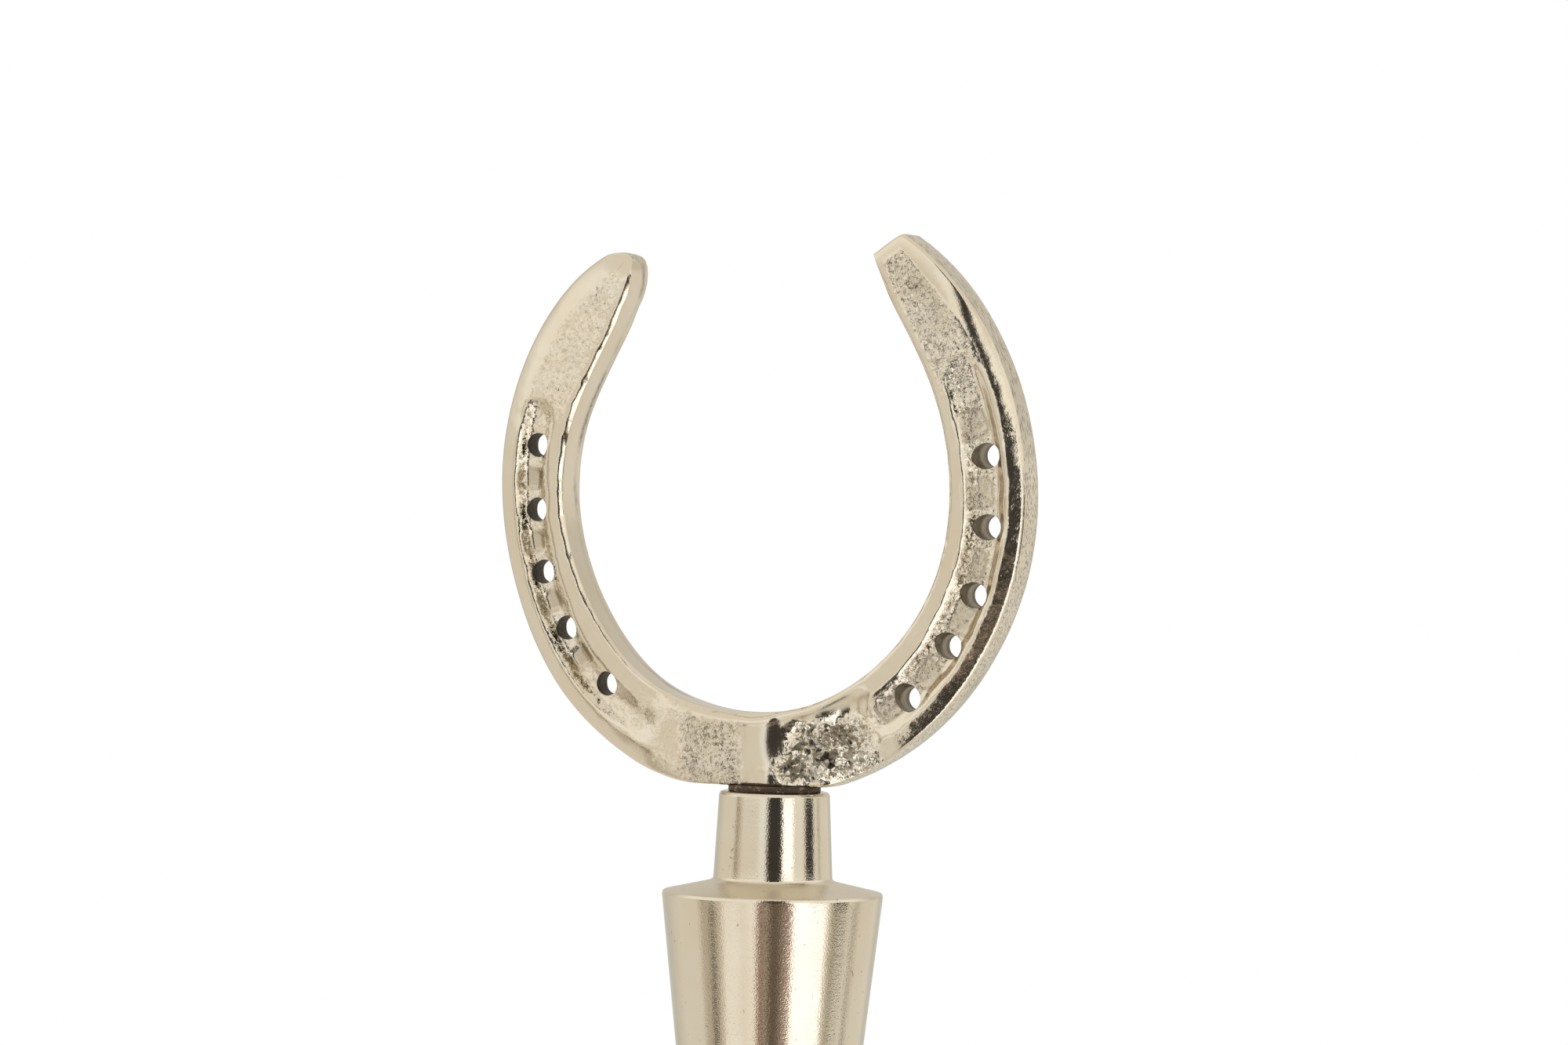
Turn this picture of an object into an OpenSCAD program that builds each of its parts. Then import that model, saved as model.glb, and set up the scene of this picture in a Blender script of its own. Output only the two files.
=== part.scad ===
// Bottle stopper with a cast horseshoe as its handle.
// The horseshoe stands upright on a turned neck and tapered plug.
// Origin: centre of the plug's small end. +Z runs up the plug's axis.
// The nailed face of the horseshoe looks towards -Y. Millimetres.

/* [Plug] */
// Radius of the plug at its widest rim
rim_r = 11; // [10.6:0.1:11.4]
// Length of the tapered plug below the rim
plug_len = 38; // [34:1:42]
// Loss of radius for each millimetre down the plug
plug_slope = 0.111; // [0.1:0.001:0.12]
// Rise of the sloping shoulder between the rim and the neck
shoulder_rise = 1.15; // [0.8:0.05:1.5]

/* [Neck] */
// Radius of the neck at its foot
neck_foot_r = 5.9; // [5.7:0.1:6.3]
// Radius of the neck at its top
neck_top_r = 5.5; // [5.3:0.1:5.7]
// Height of the neck above the plug's rim
neck_rise = 10.05; // [9:0.05:12]

/* [Joint] */
// Thickness of the washer between the neck and the horseshoe
washer_t = 0.6; // [0.4:0.1:1]
// Outer radius of the washer
washer_r = 4.6; // [4:0.1:5]
// Radius of the stud that ties the horseshoe to the neck
stud_r = 2; // [1.75:0.25:2]
// Depth of the stud inside the horseshoe's toe
stud_up = 5.6; // [4:0.1:5.8]
// Depth of the stud inside the neck
stud_down = 9; // [6:0.5:12]
// Radial clearance of the stud, the washer bore and the ring grooves
clearance = 0.05; // [0.03:0.01:0.1]

/* [Horseshoe] */
// Thickness of the horseshoe between its flat faces
shoe_t = 5.2; // [4.8:0.1:5.6]
// Lean of the horseshoe away from the plug's axis, in degrees
shoe_lean = 3.5; // [0:0.5:4]
// Outer radius round the toe
toe_r = 27.4; // [27:0.1:27.8]
// Outer radius along each branch
side_r = 33; // [32.6:0.1:33.4]
// Outer radius round each heel
heel_r = 12.9; // [12.5:0.1:13.3]
// Inner radius round the toe
toe_inner_r = 20; // [19.8:0.1:20.2]
// Inner radius along each branch
side_inner_r = 24.6; // [24.4:0.1:24.8]
// Slant of the end face of the heel on the right, in degrees
heel_slant_right = 38; // [30:1:45]
// Slant of the end face of the heel on the left, in degrees
heel_slant_left = 20; // [10:1:30]
// Height of the raised boss on the toe above the nailed face
boss_h = 0.8; // [0.4:0.1:1]

/* [Crease and nail holes] */
// Distance from the outer edge to the near side of the nail crease
crease_near = 2; // [1.8:0.1:2.2]
// Width of the nail crease at its floor
crease_w = 2.8; // [2.6:0.1:3]
// Depth of the nail crease
crease_depth = 0.9; // [0.7:0.1:1.4]
// Radius of a nail hole
nail_r = 1.2; // [1:0.1:1.3]
// Distance from the outer edge to the row of nail holes
nail_in = 3.6; // [3.4:0.1:3.8]

/* [Seal rings] */
// Radius of the round section of a seal ring
ring_r = 1.2; // [1:0.1:1.3]
// How far a seal ring stands proud of the plug
ring_proud = 0.6; // [0.5:0.05:0.8]
// Height of the lowest seal ring
ring_z = 5.5; // [5:0.5:6]
// Spacing of the seal rings
ring_step = 5.5; // [5:0.5:5.5]

/* [Hidden] */
$fn = 96;

nickel = [0.80, 0.77, 0.68];
steel = [0.62, 0.62, 0.60];
fibre = [0.22, 0.13, 0.07];
rubber = [0.10, 0.10, 0.10];

neck_z = plug_len + neck_rise;       // top of the neck
seat_z = neck_z + washer_t;          // seat of the horseshoe's toe
half_t = shoe_t / 2;

// Angles are measured round each arc from straight down, towards the heel.
toe_end = 60;      // end of the toe's outer arc
side_end = 127.5;  // end of a branch's outer arc
toe_in_end = 56.5; // end of the toe's inner arc
side_in_end = 117; // end of a branch's inner arc

nail_angles_left = [47, 64, 76, 88.5, 101.5];
nail_angles_right = [40.5, 56.5, 68.5, 81.5, 95];
crease_from = 33;
crease_to_left = 109;
crease_to_right = 114;

function dir(a) = [sin(a), -cos(a)];

// Neighbouring arcs overlap by this much where they meet, so that they cross
// cleanly where a true tangent would only graze.
blend = 0.02;

// Arc centres in the horseshoe's own plane: [across, up] from the toe seat
toe_c = [0, 26.3];
side_c = toe_c + (toe_r - side_r - blend) * dir(toe_end);
heel_c = side_c + (side_r - heel_r + blend) * dir(side_end);
toe_in_c = [0, 26.85];
side_in_c = toe_in_c + (toe_inner_r - side_inner_r - blend) * dir(toe_in_end);
// Foot of the straight inner edge of a heel, which leaves the inner arc there
bar_foot = side_in_c + (side_inner_r - blend) * dir(side_in_end);
// Point that the slanting end face of each heel passes through
tip_u = 15.6;
tip_v = 53;

// A point at distance d inside the outer edge
function rail(a, d) =
    a <= toe_end ? toe_c + (toe_r - d) * dir(a) : side_c + (side_r - d) * dir(a);

// Slice of the plane seen from c between two angles
module slice(c, a0, a1)
    polygon([c, c + 60 * dir(a0), c + 90 * dir((a0 + a1) / 2), c + 60 * dir(a1)]);

module disc(c, r)
    translate(c) circle(r = r);

// Area inside a line that runs at distance d inside the outer edge
module outline(d) {
    disc(toe_c, toe_r - d);
    for (side = [0, 1]) mirror([side, 0]) {
        intersection() {
            disc(side_c, side_r - d);
            slice(side_c, toe_end - 1.8, side_end + 0.7);
        }
        disc(heel_c, heel_r - d);
    }
}

// The opening inside the horseshoe and between its heels
module opening() {
    disc(toe_in_c, toe_inner_r);
    for (side = [0, 1]) mirror([side, 0]) {
        intersection() {
            disc(side_in_c, side_inner_r);
            slice(side_in_c, toe_in_end - 2.3, 130);
        }
        translate(bar_foot)
            rotate(side_in_end)
                translate([-0.4, 0])
                    square([30, 12]);
    }
    translate([-9, 20]) square([18, 60]);
}

// Plan of the groove that the nail holes stand in, from angle a0 to a1
module crease_plan(a0, a1) {
    intersection() {
        difference() {
            outline(crease_near);
            outline(crease_near + crease_w);
        }
        polygon([toe_c, toe_c + 60 * (rail(a0, 0) - toe_c) / toe_r, [70, 20],
                 toe_c + 60 * (rail(a1, 0) - toe_c) / toe_r]);
    }
    for (a = [a0, a1])
        translate(rail(a, crease_near + crease_w / 2))
            circle(r = crease_w / 2 + 0.06);
}

module crease(a0, a1)
    translate([0, 0, half_t - crease_depth])
        linear_extrude(crease_depth + 1)
            crease_plan(a0, a1);

module nail_holes(angles)
    for (a = angles)
        translate(concat(rail(a, nail_in), -half_t - 1))
            cylinder(r = nail_r, h = shoe_t + 2, $fn = 32);

// Everything beyond the slanting end face of a heel
module heel_cut(slant)
    translate([tip_u, tip_v])
        rotate(slant)
            translate([-20, 0])
                square([40, 20]);

// Shallow rounded boss across the toe, over the stud
module toe_boss()
    intersection() {
        translate([0.6, 10, half_t + boss_h - 7])
            rotate([90, 0, 0])
                cylinder(r = 7, h = 14);
        translate([-5, -1.2, 0])
            cube([11, 7.6, half_t + boss_h]);
    }

// The horseshoe drawn flat, with its nailed face up
module flat_shoe()
    difference() {
        union() {
            translate([0, 0, -half_t])
                linear_extrude(shoe_t)
                    difference() {
                        outline(0);
                        opening();
                        heel_cut(heel_slant_right);
                        mirror([1, 0]) heel_cut(heel_slant_left);
                    }
            toe_boss();
        }
        crease(crease_from, crease_to_right);
        mirror([1, 0, 0]) crease(crease_from, crease_to_left);
        nail_holes(nail_angles_right);
        mirror([1, 0, 0]) nail_holes(nail_angles_left);
    }

module horseshoe()
    color(nickel)
        difference() {
            translate([0, 0, seat_z])
                rotate([0, -shoe_lean, 0])
                    rotate([90, 0, 0])
                        flat_shoe();
            // Flat seat ground across the toe, square to the plug's axis
            translate([-25, -10, seat_z - 10])
                cube([50, 20, 10]);
            // Tapped hole for the stud
            translate([0, 0, seat_z - 1])
                cylinder(r = stud_r + clearance, h = stud_up + 1.2, $fn = 48);
        }

module joint_washer()
    color(fibre)
        translate([0, 0, neck_z])
            difference() {
                cylinder(r = washer_r, h = washer_t);
                translate([0, 0, -1])
                    cylinder(r = stud_r + clearance, h = washer_t + 2, $fn = 48);
            }

// Stud with shallow rings that stand for its thread
module threaded_stud()
    color(steel)
        translate([0, 0, neck_z - stud_down])
            rotate_extrude($fn = 48)
                polygon(concat(
                    [[0, 0], [stud_r - 0.4, 0]],
                    [for (i = [0 : floor((stud_down + washer_t + stud_up - 1) / 0.7) - 1])
                        each [[stud_r, 0.4 + i * 0.7], [stud_r, 0.6 + i * 0.7],
                              [stud_r - 0.3, 0.9 + i * 0.7], [stud_r - 0.3, 1.0 + i * 0.7]]],
                    [[stud_r - 0.4, stud_down + washer_t + stud_up],
                     [0, stud_down + washer_t + stud_up]]
                ));

function plug_r(z) = rim_r - plug_slope * (plug_len - z);
function ring_at(i) = ring_z + i * ring_step;
function ring_centre(i) = plug_r(ring_at(i)) + ring_proud - ring_r;

// Plug, rim, shoulder and neck, turned in one piece
module stopper_body()
    color(nickel)
        difference() {
            rotate_extrude()
                polygon([
                    [0, 0], [plug_r(0) - 1, 0], [plug_r(0.3) - 0.3, 0.3],
                    [plug_r(1), 1], [plug_r(plug_len - 0.3), plug_len - 0.3],
                    [rim_r - 0.1, plug_len], [rim_r - 0.4, plug_len + 0.12],
                    [neck_foot_r + 0.5, plug_len + shoulder_rise - 0.05],
                    [neck_foot_r + 0.15, plug_len + shoulder_rise + 0.1],
                    [neck_foot_r, plug_len + shoulder_rise + 0.5],
                    [neck_top_r, neck_z - 0.4], [neck_top_r - 0.1, neck_z - 0.12],
                    [neck_top_r - 0.4, neck_z], [0, neck_z]
                ]);
            // Tapped hole for the stud
            translate([0, 0, neck_z - stud_down - 0.5])
                cylinder(r = stud_r + clearance, h = stud_down + 1.5, $fn = 48);
            for (i = [0 : 2])
                translate([0, 0, ring_at(i)])
                    rotate_extrude()
                        translate([ring_centre(i), 0])
                            circle(r = ring_r + clearance, $fn = 32);
        }

module seal_ring(i)
    color(rubber)
        translate([0, 0, ring_at(i)])
            rotate_extrude()
                translate([ring_centre(i), 0])
                    circle(r = ring_r, $fn = 32);

module seal_ring_lower() seal_ring(0);
module seal_ring_middle() seal_ring(1);
module seal_ring_upper() seal_ring(2);

horseshoe();
joint_washer();
threaded_stud();
stopper_body();
seal_ring_lower();
seal_ring_middle();
seal_ring_upper();
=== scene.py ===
import math

import bpy
import bmesh
import numpy as np
from mathutils import Matrix, Vector


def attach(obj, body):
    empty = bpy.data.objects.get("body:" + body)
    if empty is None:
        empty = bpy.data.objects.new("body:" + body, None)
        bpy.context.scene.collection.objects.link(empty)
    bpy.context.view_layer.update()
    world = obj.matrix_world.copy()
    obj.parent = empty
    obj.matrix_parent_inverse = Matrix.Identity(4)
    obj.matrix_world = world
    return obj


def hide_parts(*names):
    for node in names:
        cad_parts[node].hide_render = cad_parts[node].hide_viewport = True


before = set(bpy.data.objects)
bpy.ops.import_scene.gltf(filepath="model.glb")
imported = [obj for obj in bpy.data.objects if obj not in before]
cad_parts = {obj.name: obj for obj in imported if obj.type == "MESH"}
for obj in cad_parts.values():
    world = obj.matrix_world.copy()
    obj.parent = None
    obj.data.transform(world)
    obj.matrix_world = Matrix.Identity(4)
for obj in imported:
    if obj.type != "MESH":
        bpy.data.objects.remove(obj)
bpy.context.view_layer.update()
MM = 0.001

# ---------------------------------------------------------------- small tools


def smooth(a, b, x):
    t = np.clip((np.asarray(x, float) - a) / (b - a), 0.0, 1.0)
    return t * t * (3 - 2 * t)


def soft_min(a, b, k):
    h = np.clip(0.5 + 0.5 * (b - a) / k, 0.0, 1.0)
    return b * (1 - h) + a * h - k * h * (1 - h)


def hashed(ix, iy, iz, seed):
    n = (ix * 73856093) ^ (iy * 19349663) ^ (iz * 83492791) ^ (seed * 40503)
    n = n & 0xFFFFFFFF
    n = ((n ^ (n >> 13)) * 1274126177) & 0xFFFFFFFF
    n = n ^ (n >> 16)
    n = (n * 668265263) & 0xFFFFFFFF
    n = n ^ (n >> 15)
    return (n & 0xFFFFFF) / float(0xFFFFFF)


def noise(p, size, seed=0):
    """Smooth noise from -1 to 1 with features of that size, at points p (N, 3) in mm."""
    q = np.asarray(p, float) / size + 311.7
    i = np.floor(q).astype(np.int64)
    f = q - i
    w = f * f * f * (f * (f * 6 - 15) + 10)
    out = 0.0
    for dx in (0, 1):
        for dy in (0, 1):
            for dz in (0, 1):
                h = hashed(i[:, 0] + dx, i[:, 1] + dy, i[:, 2] + dz, seed)
                wx = w[:, 0] if dx else 1 - w[:, 0]
                wy = w[:, 1] if dy else 1 - w[:, 1]
                wz = w[:, 2] if dz else 1 - w[:, 2]
                out = out + h * wx * wy * wz
    return out * 2 - 1


def fractal(p, size, seed=0, octaves=3):
    total, amp, norm = 0.0, 1.0, 0.0
    for k in range(octaves):
        total = total + amp * noise(p, size / 2**k, seed + 17 * k)
        norm += amp
        amp *= 0.5
    return total / norm


def crystals(p, size, seed=0):
    """Facets like coarse grains: distance to the nearest of scattered points, 0 at a grain's middle."""
    q = np.asarray(p, float) / size + 411.3
    base = np.floor(q).astype(np.int64)
    best = np.full(len(q), 9.0)
    for dx in (-1, 0, 1):
        for dy in (-1, 0, 1):
            for dz in (-1, 0, 1):
                c = base + np.array([dx, dy, dz])
                o = np.stack([hashed(c[:, 0], c[:, 1], c[:, 2], seed + k) for k in (1, 2, 3)], -1)
                best = np.minimum(best, ((c + o - q) ** 2).sum(1))
    return np.sqrt(best)


def cubic(xs, ys):
    """A natural cubic spline through the points, as a function."""
    xs, ys = np.array(xs, float), np.array(ys, float)
    n = len(xs)
    h = np.diff(xs)
    a = np.zeros((n, n))
    b = np.zeros(n)
    a[0, 0] = a[-1, -1] = 1
    for i in range(1, n - 1):
        a[i, i - 1], a[i, i], a[i, i + 1] = h[i - 1], 2 * (h[i - 1] + h[i]), h[i]
        b[i] = 6 * ((ys[i + 1] - ys[i]) / h[i] - (ys[i] - ys[i - 1]) / h[i - 1])
    m = np.linalg.solve(a, b)

    def f(x):
        x = np.asarray(x, float)
        i = np.clip(np.searchsorted(xs, x) - 1, 0, n - 2)
        t = x - xs[i]
        return (
            ys[i]
            + t * ((ys[i + 1] - ys[i]) / h[i] - h[i] * (2 * m[i] + m[i + 1]) / 6)
            + t**2 * m[i] / 2
            + t**3 * (m[i + 1] - m[i]) / (6 * h[i])
        )

    return f


def section(points, blur):
    """A cross-section through (distance, depth) points with its corners rounded by blur mm, as a function."""
    xs = np.arange(-3.0, 14.0, 0.02)
    px, py = zip(*points)
    ys = np.interp(xs, px, py)
    k = np.exp(-0.5 * (np.arange(-15, 16) * 0.02 / blur) ** 2)
    pad = np.pad(ys, 15, mode="edge")
    ys = np.convolve(pad, k / k.sum(), mode="valid")
    return lambda d: np.interp(d, xs, ys)


def new_object(name, verts, faces, smooth_faces=True):
    mesh = bpy.data.meshes.new(name)
    mesh.from_pydata([tuple(v) for v in verts], [], faces)
    mesh.validate()
    mesh.update()
    obj = bpy.data.objects.new(name, mesh)
    bpy.context.scene.collection.objects.link(obj)
    if smooth_faces:
        mesh.polygons.foreach_set("use_smooth", [True] * len(mesh.polygons))
    return obj


def lathe(name, profile, segments):
    """Turns a profile of (r, z) points in mm about the Z axis. A first and last point on the axis closes it, and so does a last point equal to the first."""
    ring = profile[0] == profile[-1]
    pts = profile[:-1] if ring else profile
    verts, rows = [], []
    for r, z in pts:
        if r < 1e-6:
            rows.append([len(verts)] * segments)
            verts.append((0, 0, z * MM))
        else:
            row = []
            for k in range(segments):
                a = 2 * math.pi * k / segments
                row.append(len(verts))
                verts.append((r * MM * math.cos(a), r * MM * math.sin(a), z * MM))
            rows.append(row)
    faces = []
    count = len(rows)
    for i in range(count if ring else count - 1):
        a, b = rows[i], rows[(i + 1) % count]
        for k in range(segments):
            m = (k + 1) % segments
            f = [a[k], a[m], b[m], b[k]]
            f = [v for j, v in enumerate(f) if v != f[j - 1]]
            if len(f) >= 3:
                faces.append(f)
    obj = new_object(name, verts, faces)
    bm = bmesh.new()
    bm.from_mesh(obj.data)
    bmesh.ops.recalc_face_normals(bm, faces=bm.faces)
    bm.to_mesh(obj.data)
    bm.free()
    return obj


def rounded(points, radii, steps=5):
    """The polyline with its inner corners rounded to these radii, in mm."""
    out = [points[0]]
    for i in range(1, len(points) - 1):
        p, a, b = (Vector(points[i]), Vector(points[i - 1]), Vector(points[i + 1]))
        r = radii[i]
        d1, d2 = (a - p).normalized(), (b - p).normalized()
        angle = d1.angle(d2)
        if r <= 0 or angle > math.radians(178):
            out.append(tuple(p))
            continue
        t = min(r / math.tan(angle / 2), 0.45 * (a - p).length, 0.45 * (b - p).length)
        s, e = p + d1 * t, p + d2 * t
        for k in range(steps + 1):
            w = k / steps
            q = s * (1 - w) ** 2 + p * 2 * w * (1 - w) + e * w**2
            out.append(tuple(q))
    out.append(points[-1])
    return out


def resample(points, step):
    """Adds points to long pieces of a polyline."""
    out = [points[0]]
    for a, b in zip(points, points[1:]):
        length = math.dist(a, b)
        n = max(1, int(length / step))
        for k in range(1, n + 1):
            out.append((a[0] + (b[0] - a[0]) * k / n, a[1] + (b[1] - a[1]) * k / n))
    return out


# ---------------------------------------------------------------- node helpers


class Nodes:
    def __init__(self, tree):
        self.tree = tree

    def add(self, kind, **props):
        n = self.tree.nodes.new(kind)
        for k, v in props.items():
            if k == "inputs":
                for key, value in v.items():
                    self.set(n.inputs[key], value)
            else:
                setattr(n, k, v)
        return n

    def set(self, socket, value):
        if isinstance(value, bpy.types.NodeSocket):
            self.tree.links.new(value, socket)
        elif hasattr(value, "outputs"):
            self.tree.links.new(value.outputs[0], socket)
        else:
            socket.default_value = value

    def math(self, op, a, b=0.0, c=0.0, clamp=False):
        n = self.add("ShaderNodeMath", operation=op, use_clamp=clamp)
        for s, v in zip(n.inputs, (a, b, c)):
            self.set(s, v)
        return n.outputs[0]

    def ramp_range(self, value, a, b, lo=0.0, hi=1.0, kind="SMOOTHSTEP"):
        n = self.add("ShaderNodeMapRange", interpolation_type=kind)
        for s, v in zip(n.inputs, (value, a, b, lo, hi)):
            self.set(s, v)
        return n.outputs[0]

    def mix(self, f, a, b, mode="MIX"):
        n = self.add("ShaderNodeMix", data_type="RGBA", blend_type=mode)
        self.set(n.inputs[0], f)
        self.set(n.inputs[6], a)
        self.set(n.inputs[7], b)
        return n.outputs[2]

    def attribute(self, name):
        return self.add("ShaderNodeAttribute", attribute_name=name).outputs["Fac"]

    def noise(self, vector, size_mm, detail=2.0, rough=0.5, kind="ShaderNodeTexNoise"):
        n = self.add(kind)
        self.set(n.inputs["Vector"], vector)
        n.inputs["Scale"].default_value = 1.0 / (size_mm * MM)
        if "Detail" in n.inputs:
            n.inputs["Detail"].default_value = detail
        if "Roughness" in n.inputs:
            n.inputs["Roughness"].default_value = rough
        return n

    def coords(self, scale=(1, 1, 1)):
        tc = self.add("ShaderNodeTexCoord")
        if tuple(scale) == (1, 1, 1):
            return tc.outputs["Object"]
        m = self.add("ShaderNodeMapping")
        self.set(m.inputs["Vector"], tc.outputs["Object"])
        m.inputs["Scale"].default_value = scale
        return m.outputs[0]


def material(name):
    m = bpy.data.materials.new(name)
    m.use_nodes = True
    m.node_tree.nodes.clear()
    n = Nodes(m.node_tree)
    out = n.add("ShaderNodeOutputMaterial")
    bsdf = n.add("ShaderNodeBsdfPrincipled")
    n.set(out.inputs["Surface"], bsdf.outputs[0])
    return m, n, bsdf


# ---------------------------------------------------------------- horseshoe shape

T = 5.2  # thickness
LEAN = math.radians(3.5)
CL, SL = math.cos(LEAN), math.sin(LEAN)
SEAT = 48.65
PC = 27.0  # the outline is in polar form about (0, 27) of the shoe's plane

OUTER_DEG = [-160, -152, -144, -136, -128, -120, -112, -104, -96, -88, -80, -72, -64, -56, -48, -40, -32, -24, -12, 0, 12, 24, 32, 40, 48, 56, 64, 72, 80, 88, 96, 104, 112, 120, 128, 136, 144, 152]
OUTER_MM = [29.9, 30.5, 30.72, 30.49, 30.04, 29.54, 29.05, 28.59, 28.16, 27.82, 27.61, 27.58, 27.70, 27.87, 28.00, 28.06, 28.12, 27.98, 27.80, 27.9, 27.98, 27.86, 27.79, 27.71, 27.64, 27.60, 27.64, 27.74, 27.88, 28.06, 28.31, 28.65, 29.11, 29.65, 30.26, 30.86, 31.35, 31.7]
INNER_DEG = [-152, -148, -144, -140, -136, -128, -120, -112, -104, -96, -88, -80, -72, -64, -56, -48, -40, -32, -24, -12, 0, 12, 24, 32, 40, 48, 56, 64, 72, 80, 88, 96, 104, 112, 120, 128, 136, 142, 146.2, 149.4, 152]
INNER_MM = [26.1, 25.35, 24.35, 23.62, 23.12, 22.42, 22.03, 21.68, 21.34, 21.01, 20.69, 20.42, 20.24, 20.16, 20.19, 20.29, 20.38, 20.34, 20.18, 19.98, 19.80, 19.78, 19.72, 19.68, 19.68, 19.71, 19.79, 19.89, 20.02, 20.18, 20.39, 20.68, 21.07, 21.58, 22.21, 22.97, 24.00, 25.07, 26.2, 27.45, 28.4]
outer_curve = cubic(OUTER_DEG, OUTER_MM)
inner_curve = cubic(INNER_DEG, INNER_MM)

LEFT_END, RIGHT_END = -153.7, 151.7
RIGHT_TOP, RIGHT_CORNER = (16.8, 54.05), (13.3, 51.95)


def radii(phi):
    """Outer and inner radius at these angles in degrees, with the two heel ends closed."""
    phi = np.asarray(phi, float)
    a = np.radians(phi)
    ro, ri = outer_curve(phi), inner_curve(phi)
    seat = PC / (np.cos(a) - math.tan(LEAN) * np.sin(a))
    ro = np.where(np.abs(phi) < 30, soft_min(ro, seat, 0.45), ro)
    # the right heel ends in a slanting facet
    (x0, y0), (x1, y1) = RIGHT_TOP, RIGHT_CORNER
    nx, ny = -(y1 - y0), x1 - x0
    denominator = nx * np.sin(a) - ny * np.cos(a)
    facet = (nx * x0 + ny * (y0 - PC)) / np.where(np.abs(denominator) < 1e-9, 1e-9, denominator)
    ro = np.where(phi > 138, soft_min(ro, facet, 0.6), ro)
    # close the right end over its last bit
    t = np.clip((RIGHT_END - phi) / 1.5, 0, 1)
    f = np.sqrt(np.clip(1 - (1 - t) ** 2, 0, 1))
    mid, half = (ro + ri) / 2, (ro - ri) / 2
    ro, ri = np.where(phi > 140, mid + half * f, ro), np.where(phi > 140, mid - half * f, ri)
    # the left heel is a rounded nose
    ra = 28.8
    t = np.clip((phi - LEFT_END) / 5.0, 0, 1)
    f = np.sqrt(np.clip(1 - (1 - t) ** 2, 0, 1)) ** 1.1
    ro = np.where(phi < -140, ra + (ro - ra) * f, ro)
    t = np.clip((phi - LEFT_END) / 5.5, 0, 1)
    f = np.sqrt(np.clip(1 - (1 - t) ** 2, 0, 1))
    ri = np.where(phi < -140, ra - (ra - ri) * f, ri)
    return ro, ri


def polar(r, phi):
    a = np.radians(phi)
    return r * np.sin(a), PC - r * np.cos(a)


STATIONS = 780
END = 16
FRONT = 62


def station_angles():
    th = np.linspace(0.16, math.pi / 2, END)
    left = LEFT_END + 5.5 * (1 - np.cos(th))
    right = RIGHT_END - 1.8 * (1 - np.cos(th))
    middle = np.linspace(left[-1], right[-1], STATIONS - 2 * END + 2)[1:-1]
    return np.concatenate([left, middle, right[::-1]])


PHI = station_angles()
RO, RI = radii(PHI)
OU, OV = polar(RO, PHI)
IU, IV = polar(RI, PHI)


def dense_curve(which):
    th = np.linspace(0.0, math.pi / 2, 60)
    phi = np.concatenate([
        LEFT_END + 5.5 * (1 - np.cos(th)),
        np.linspace(LEFT_END + 5.5, RIGHT_END - 1.8, 1500)[1:-1],
        (RIGHT_END - 1.8 * (1 - np.cos(th)))[::-1],
    ])
    return np.stack(polar(radii(phi)[which], phi), -1)


OUT_LINE, IN_LINE = dense_curve(0), dense_curve(1)


def distance_to(line, pts):
    """Distance from each point to a polyline."""
    out = np.empty(len(pts))
    for s in range(0, len(pts), 2000):
        p = pts[s : s + 2000]
        d2 = ((p[:, None, :] - line[None, :, :]) ** 2).sum(-1)
        k = d2.argmin(1)
        best = np.sqrt(d2[np.arange(len(p)), k])
        for off in (-1, 0):
            i = np.clip(k + off, 0, len(line) - 2)
            a, b = line[i], line[i + 1]
            ab = b - a
            t = np.clip(((p - a) * ab).sum(1) / np.maximum((ab**2).sum(1), 1e-12), 0, 1)
            best = np.minimum(best, np.linalg.norm(a + ab * t[:, None] - p, axis=1))
        out[s : s + 2000] = best
    return out


# Nail holes and the shallow punch marks between them, as (u, v) in the shoe's plane.
HOLES_L = [(-23.5, 34.7), (-23.85, 28.25), (-23.4, 22.0), (-21.1, 16.3), (-16.85, 10.6)]
HOLES_R = [(24.45, 31.75), (24.3, 24.75), (22.6, 18.1), (19.75, 13.2), (15.3, 8.2)]
PUNCH_L = [(-24.5, 31.4), (-24.55, 25.0), (-22.95, 18.9), (-19.7, 13.3)]
PUNCH_R = [(22.9, 34.85), (23.3, 28.1), (22.3, 21.3), (21.0, 15.9), (16.9, 10.9), (13.3, 7.7)]

# Crease cross-sections: distance from the outer edge and depth below the face.
SEC_L = section([(2.0, 0), (2.1, 0.14), (2.95, 0.80), (3.2, 0.88), (4.2, 0.88), (4.6, 0.76), (5.1, 0.38), (5.5, 0.1), (5.9, 0)], 0.11)
SEC_R = section([(1.5, 0), (1.9, 0.10), (2.3, 0.5), (2.6, 0.8), (2.9, 0.92), (4.8, 0.92), (5.1, 0.80), (5.9, 0.22), (5.98, 0.02), (6.1, 0)], 0.04)
TOE = section([(-6.5, 0), (-4.4, -0.03), (-2.6, -0.42), (-1.6, -0.61), (-1.0, -0.64), (-0.3, -0.60), (0.2, -0.53), (0.6, -0.43), (1.0, -0.29), (1.7, 0.0), (2.7, 0.40), (3.1, 0.56), (3.5, 0.66), (4.0, 0.71), (4.5, 0.68), (5.0, 0.58), (5.5, 0.52), (6.2, 0.60), (7.0, 0.86), (8.0, 1.10), (8.8, 1.14), (10, 0.92), (12, 0.45), (13.9, 0.1), (14, 0.08)], 0.16)

ARC = 24.5  # mean radius, turns degrees into mm along the shoe


def frame_angle(u, v):
    return np.degrees(np.arctan2(u, -(v - PC)))


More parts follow.
